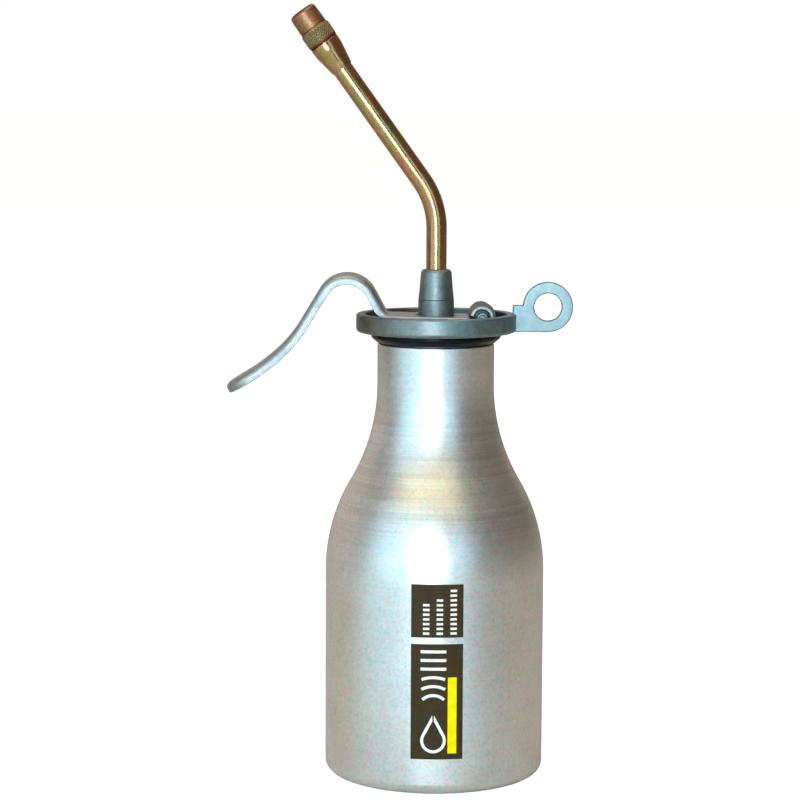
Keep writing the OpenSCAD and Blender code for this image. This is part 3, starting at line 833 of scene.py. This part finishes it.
def cut_hole(piece, bm, place):
    """Takes a closed bmesh, in millimetres, out of a piece."""
    mesh = bpy.data.meshes.new("cutter")
    bmesh.ops.recalc_face_normals(bm, faces=bm.faces)
    bm.to_mesh(mesh)
    bm.free()
    mesh.transform(Matrix.Scale(MM, 4) @ place)
    cutter = bpy.data.objects.new("cutter", mesh)
    bpy.context.scene.collection.objects.link(cutter)
    modifier = piece.modifiers.new("hole", "BOOLEAN")
    modifier.operation = "DIFFERENCE"
    modifier.solver = "EXACT"
    modifier.object = cutter
    bpy.context.view_layer.update()
    seen = piece.evaluated_get(bpy.context.evaluated_depsgraph_get())
    result = bpy.data.meshes.new_from_object(seen)
    piece.modifiers.remove(modifier)
    old, piece.data = piece.data, result
    bpy.data.meshes.remove(old)
    bpy.data.objects.remove(cutter)
    bpy.data.meshes.remove(mesh)
    result.polygons.foreach_set("use_smooth", [True] * len(result.polygons))
    result.set_sharp_from_angle(angle=math.radians(32))
    even_normals(piece)


# ---------------------------------------------------------------- plunger and spout


def make_plunger_head():
    low = HEAD_LOW
    bore_r = 3.4 + FIT
    profile = fillet([
        (3.0, low, 0), (HEAD_R, low, 0.4), (HEAD_R, HEAD_TOP, 0.1), (bore_r, HEAD_TOP, 0),
        (bore_r, low + 7.3, 0), (2.3, low + 7.3, 0), (2.3, low + 2.6, 0), (3.0, low + 2, 0)])
    new_piece("plunger_head_turned", lathe(profile, 96), ZINC_TURNED, "plunger",
              ("plunger_head",))


def make_collar():
    base = HEAD_TOP + 0.1
    profile = fillet([
        (1.5, base - 3, 0), (3.4, base - 3, 0.1), (3.4, base - 2.75, 0), (2.9, base - 2.75, 0),
        (2.9, base - 2.25, 0), (3.4, base - 2.25, 0), (3.4, base - 1.8, 0), (2.5, base - 1.8, 0),
        (2.5, base - 0.8, 0), (3.4, base - 0.8, 0), (3.4, base, 0), (5.42, base, 0.1),
        (5.12, base + 2.8, 3), (4.58, COLLAR_TOP, 1.3), (TUBE_R, COLLAR_TOP, 0.15),
        (TUBE_R, TUBE_LOW, 0), (1.5, TUBE_LOW, 0)])
    new_piece("spout_collar_turned", lathe(profile, 96), ZINC_TURNED, "spout",
              ("spout_collar",))


def spout_route():
    """Points and directions along the spout tube's centre line."""
    up = Vector((0, 0, 1))
    route = [(Vector((0, 0, z)), up) for z in (TUBE_LOW, TUBE_LOW + 0.3, BEND_Z - 6, BEND_Z - 1)]
    for k in range(29):
        t = BEND_A * k / 28
        point = Vector((-BEND_R + BEND_R * math.cos(t), 0, BEND_Z + BEND_R * math.sin(t)))
        route.append((point, Vector((-math.sin(t), 0, math.cos(t)))))
    end, along = route[-1]
    return route + [(end + along * s, along) for s in (1, 8, 20, 32, REACH + 4.7, REACH + 5)]


def make_spout_tube():
    route = spout_route()
    sides = 64
    bm = bmesh.new()
    tube(bm, route, TUBE_R, sides)
    tube(bm, route, TUBE_BORE_R, sides)
    bm.verts.ensure_lookup_table()
    count = len(route) * sides
    for first in (0, count - sides):
        for k in range(sides):
            n = (k + 1) % sides
            outer = (bm.verts[first + k], bm.verts[first + n])
            inner = (bm.verts[first + count + n], bm.verts[first + count + k])
            bm.faces.new((*outer, *inner))
    new_piece("spout_tube_bent", bm, CHROMATE, "spout", ("spout_tube",))


def make_spout_tip():
    profile = fillet([
        (TUBE_R, 0, 0), (3.38, 0, 0.2), (4.5, CONE_L - 2.8, 4), (4.6, CONE_L, 0.3), (3.2, CONE_L, 0),
        (3.2, CONE_L + 7.1, 0.2), (2.0, CONE_L + 7.1, 0), (2.0, 5, 0), (TUBE_R, 5, 0)])
    new_piece("spout_tip_cone", lathe(profile, 96), CHROMATE, "spout", ("spout_tip",),
              place=on_spout(REACH))


def knurled_band(r, low, high, teeth, depth, bm):
    """A closed ring whose outside is cut into diamond-shaped points."""
    around = teeth * 8
    pitch = 2 * math.pi * r / teeth
    rows = max(8, round((high - low) / pitch * 8))
    rings = []
    for i in range(rows + 1):
        z = low + (high - low) * i / rows
        fade = min(1.0, i / 3, (rows - i) / 3)
        ring = []
        for k in range(around):
            turn = k / 8
            slope = (z - low) / pitch
            a, b = (turn + slope) % 1, (turn - slope) % 1
            ridge = min(1 - abs(2 * a - 1), 1 - abs(2 * b - 1))
            out = r - depth + depth * min(1.0, 1.6 * ridge) * fade
            t = 2 * math.pi * k / around
            ring.append(bm.verts.new((out * math.cos(t), out * math.sin(t), z)))
        rings.append(ring)
    for a, b in zip(rings, rings[1:]):
        for k in range(around):
            n = (k + 1) % around
            bm.faces.new((a[k], a[n], b[n], b[k]))
    return rings[0], rings[-1]


def make_nozzle_cap():
    knurl_l, end, bore_r, room = 5.1, 11.5, 3.23, 10.0
    bm = bmesh.new()
    first, last = knurled_band(4.75, 0.35, knurl_l - 0.35, 30, 0.24, bm)
    around = len(first)

    def ring(r, z):
        turn = [2 * math.pi * k / around for k in range(around)]
        return [bm.verts.new((r * math.cos(t), r * math.sin(t), z)) for t in turn]

    front = fillet([
        (4.5, knurl_l - 0.3, 0), (4.36, knurl_l, 0.12), (4.38, knurl_l + 0.3, 0), (4.25, end, 1.3),
        (1.5, end, 0.1), (0.5, end - 0.7, 0), (0.4, room, 0), (bore_r, room, 0)])
    back = fillet([(bore_r, -0.2, 0.2), (4.4, -0.2, 0.15), (4.5, 0.15, 0)], 4)
    rings = [last] + [ring(r, z) for r, z in front] + [ring(r, z) for r, z in back] + [first]
    for a, b in zip(rings, rings[1:]):
        for k in range(around):
            n = (k + 1) % around
            bm.faces.new((a[k], a[n], b[n], b[k]))
    new_piece("nozzle_cap_knurled", bm, NOZZLE_BRASS, "nozzle", ("nozzle_cap",), 30,
              on_spout(REACH + CONE_L + NOZZLE_GAP))


# ---------------------------------------------------------------- pump, seen when the head is lifted


def coil_route(coil_r, wire_r, low, high, turns, steps):
    rise = high - low - 2 * wire_r
    route = []
    for k in range(turns * steps + 1):
        share = k / (turns * steps)
        t = 2 * math.pi * k / steps
        z = low + wire_r + rise * (0.65 * share + 0.35 * share * share * (3 - 2 * share))
        route.append((Vector((coil_r * math.cos(t), coil_r * math.sin(t), z)),
                      Vector((-math.sin(t), math.cos(t), 0))))
    return route


def make_spring(name, node, body, coil_r, wire_r, turns, fixed_low):
    """A coil between its node's ends, kept a little short of the end that is not fixed."""
    low, high = span(node, 2)
    clear = 0.08
    low, high = (low, high - clear) if fixed_low else (low + clear, high)
    bm = bmesh.new()
    steps, sides = 40, 12
    loops = []
    for point, along in coil_route(coil_r, wire_r, low, high, turns, steps):
        out = Vector((point.x, point.y, 0)).normalized()
        turn = [2 * math.pi * k / sides for k in range(sides)]
        loops.append([bm.verts.new(point + wire_r * (math.cos(t) * out + math.sin(t) * Vector((0, 0, 1))))
                      for t in turn])
    for a, b in zip(loops, loops[1:]):
        for k in range(sides):
            n = (k + 1) % sides
            bm.faces.new((a[k], a[n], b[n], b[k]))
    bm.faces.new(loops[0])
    bm.faces.new(loops[-1])
    piece = new_piece(name, bm, SPRING_STEEL, body, (node,), 60)
    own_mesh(piece)


def make_pump():
    low, top = span("pump_barrel", 2)
    barrel = fillet([
        (7.0, top, 0.2), (7.0, low + 5, 0), (5.0, low + 5, 0), (5.0, low, 0), (6.5, low, 0.3),
        (6.5, low + 3.5, 0.3), (8.6, low + 3.5, 0.6), (8.6, top - 2, 0), (11.5, top - 2, 0.2),
        (11.5, top, 0.2)])
    new_piece("pump_barrel_turned", lathe(barrel, 96), BRASS, "head", ("pump_barrel",))
    low = span("foot_valve", 2)[0]
    valve = fillet([
        (2.5, low, 0), (3.6, low, 0.3), (3.6, low + 9, 0.4), (6.5, low + 9, 0.3), (6.5, low + 12, 0.2),
        (5.0, low + 12, 0), (5.0, low + 16.8, 0.2), (2.9, low + 16.8, 0), (2.9, low + 10, 0),
        (1.4, low + 10, 0), (1.4, low + 7, 0), (2.5, low + 7, 0)])
    new_piece("foot_valve_turned", lathe(valve, 80), BRASS, "head", ("foot_valve",))
    low, top = span("dip_tube", 2)
    pipe = fillet([(1.7, low, 0.1), (2.5, low, 0.1), (2.5, top, 0.1), (1.7, top, 0.1)])
    new_piece("dip_tube_drawn", lathe(pipe, 64), POLY, "head", ("dip_tube",))
    make_spring("return_spring_wire", "return_spring", "head", 5.9, 0.5, 5,
                True)
    make_spring("outlet_spring_wire", "outlet_spring", "plunger", 1.75, 0.2, 3,
                False)


CAD_FINISH = {
    "stem_guide": BRASS, "ball_cage": BRASS, "plunger_stem": BRASS,
    "stem_seal": RUBBER, "piston_seal": RUBBER, "swivel_seal": RUBBER, "nozzle_seal": RUBBER,
    "barrel_gasket": FIBRE, "barrel_nut": STEEL, "drive_pins": STEEL, "inlet_ball": STEEL,
    "outlet_ball": STEEL, "swivel_clip": SPRING_STEEL,
    "piston": WHITE_ACETAL, "strainer": WHITE_ACETAL, "nozzle_core": WHITE_ACETAL,
}


def finish_cad_nodes():
    for name, material in CAD_FINISH.items():
        for place in NODES[name].material_slots:
            place.material = material


make_bottle()
make_label()
make_seal()
make_cap()
make_hinge()
make_lever()
make_plunger_head()
make_collar()
make_spout_tube()
make_spout_tip()
make_nozzle_cap()
make_pump()
finish_cad_nodes()

# ---------------------------------------------------------------- camera, light and floor


def look_at(obj, target):
    obj.rotation_mode = "QUATERNION"
    obj.rotation_quaternion = (Vector(target) - obj.location).to_track_quat("-Z", "Y")


def make_camera():
    data = bpy.data.cameras.new("camera")
    camera = bpy.data.objects.new("camera", data)
    bpy.context.scene.collection.objects.link(camera)
    across, distance, height, aim_height = -0.01084, 0.7726, 0.2060, 0.1148
    roll = math.radians(0.264)
    camera.location = (across, -distance, height)
    look_at(camera, (across, 0.0, aim_height))
    camera.rotation_quaternion @= Quaternion((0, 0, 1), roll)
    data.lens = 114.66
    data.sensor_width = 36
    data.clip_start, data.clip_end = 0.01, 100
    bpy.context.scene.camera = camera


def area_light(name, azimuth, elevation, distance, size, power, colour):
    """A soft box round the object, aimed at its middle; azimuth 0 is the camera's side."""
    data = bpy.data.lights.new(name, "AREA")
    data.shape = "RECTANGLE"
    data.size, data.size_y = size
    data.energy = power
    data.color = colour
    light = bpy.data.objects.new(name, data)
    bpy.context.scene.collection.objects.link(light)
    a, e = math.radians(azimuth), math.radians(elevation)
    middle = Vector((0, 0, 0.11))
    away = Vector((math.sin(a) * math.cos(e), -math.cos(a) * math.cos(e), math.sin(e)))
    light.location = middle + away * distance
    look_at(light, middle)
    light.visible_camera = False


def make_floor():
    """White to the camera, and a coloured table to what the metal reflects."""
    bm = bmesh.new()
    bmesh.ops.create_grid(bm, x_segments=1, y_segments=1, size=30)
    mesh = bpy.data.meshes.new("floor")
    bm.to_mesh(mesh)
    bm.free()
    floor = bpy.data.objects.new("floor", mesh)
    bpy.context.scene.collection.objects.link(floor)
    m = Nodes("floor_pale", Roughness=1.0)
    path = m.add("ShaderNodeLightPath")
    beside = m.range(m.axis("X"), -0.22, 0.20, 0.0, 1.0)
    table = m.ramp(beside, (0.0, (0.76, 0.95, 1.0)), (0.42, (0.76, 0.86, 0.92)), (1.0, (0.60, 0.565, 0.53)))
    behind = m.range(m.axis("Y"), -0.09, 0.0, 0.0, 1.0)
    table = m.mix(behind, table, (0.66, 0.60, 0.545))
    m.set("Base Color", m.mix(path.outputs["Is Camera Ray"], table, (0.92, 0.92, 0.92)))
    m.shader.inputs["Specular IOR Level"].default_value = 0.0
    m.shader.inputs["Emission Color"].default_value = (1, 1, 1, 1)
    m.set("Emission Strength", m.math("MULTIPLY", path.outputs["Is Camera Ray"], 0.80))
    mesh.materials.append(m.material)


def make_world():
    """White to the camera; to reflections a room, warm and lighter at the left and behind."""
    world = bpy.data.worlds.new("world")
    bpy.context.scene.world = world
    world.use_nodes = True
    nodes = world.node_tree.nodes
    link = world.node_tree.links.new
    way = nodes.new("ShaderNodeSeparateXYZ")
    link(nodes.new("ShaderNodeTexCoord").outputs["Generated"], way.inputs[0])

    def ramp(source, start, first, last):
        node = nodes.new("ShaderNodeValToRGB")
        node.color_ramp.elements[0].position = start
        node.color_ramp.elements[0].color = (*first, 1)
        node.color_ramp.elements[1].color = (*last, 1)
        link(source, node.inputs["Fac"])
        return node.outputs["Color"]

    def mix(blend):
        node = nodes.new("ShaderNodeMix")
        node.data_type, node.blend_type = "RGBA", blend
        return node

    spread = nodes.new("ShaderNodeMapRange")
    spread.inputs["From Min"].default_value = -0.8
    link(way.outputs["X"], spread.inputs["Value"])
    sides = ramp(spread.outputs["Result"], 0.0, (0.33, 0.30, 0.265), (0.155, 0.13, 0.105))
    back = ramp(way.outputs["Y"], 0.75, (0.0, 0.0, 0.0), (0.42, 0.37, 0.35))
    room = mix("ADD")
    room.inputs[0].default_value = 1
    link(sides, room.inputs[6])
    link(back, room.inputs[7])
    seen = mix("MIX")
    link(nodes.new("ShaderNodeLightPath").outputs["Is Camera Ray"], seen.inputs[0])
    link(room.outputs[2], seen.inputs[6])
    seen.inputs[7].default_value = (1, 1, 1, 1)
    link(seen.outputs[2], nodes["Background"].inputs["Color"])


bpy.context.scene.view_settings.view_transform = "Standard"
make_camera()
make_world()
make_floor()
area_light("key", -7, 7, 1.3, (0.42, 0.42), 7.8, (0.68, 0.88, 1.0))
area_light("left_wall", -46, 10, 1.3, (1.1, 1.1), 5.2, (0.42, 0.77, 1.0))
area_light("right_wall", 28, 8, 1.4, (0.3, 0.8), 1.7, (0.36, 0.74, 1.0))
area_light("left_back", -125, 10, 1.6, (1.5, 1.2), 1.3, (1.0, 0.86, 0.77))
area_light("warm_top", -12, 49, 1.2, (1.6, 0.20), 2.4, (1.0, 0.84, 0.38))
area_light("overhead", 0, 88, 1.6, (1.6, 1.6), 10.4, (0.95, 0.98, 0.96))
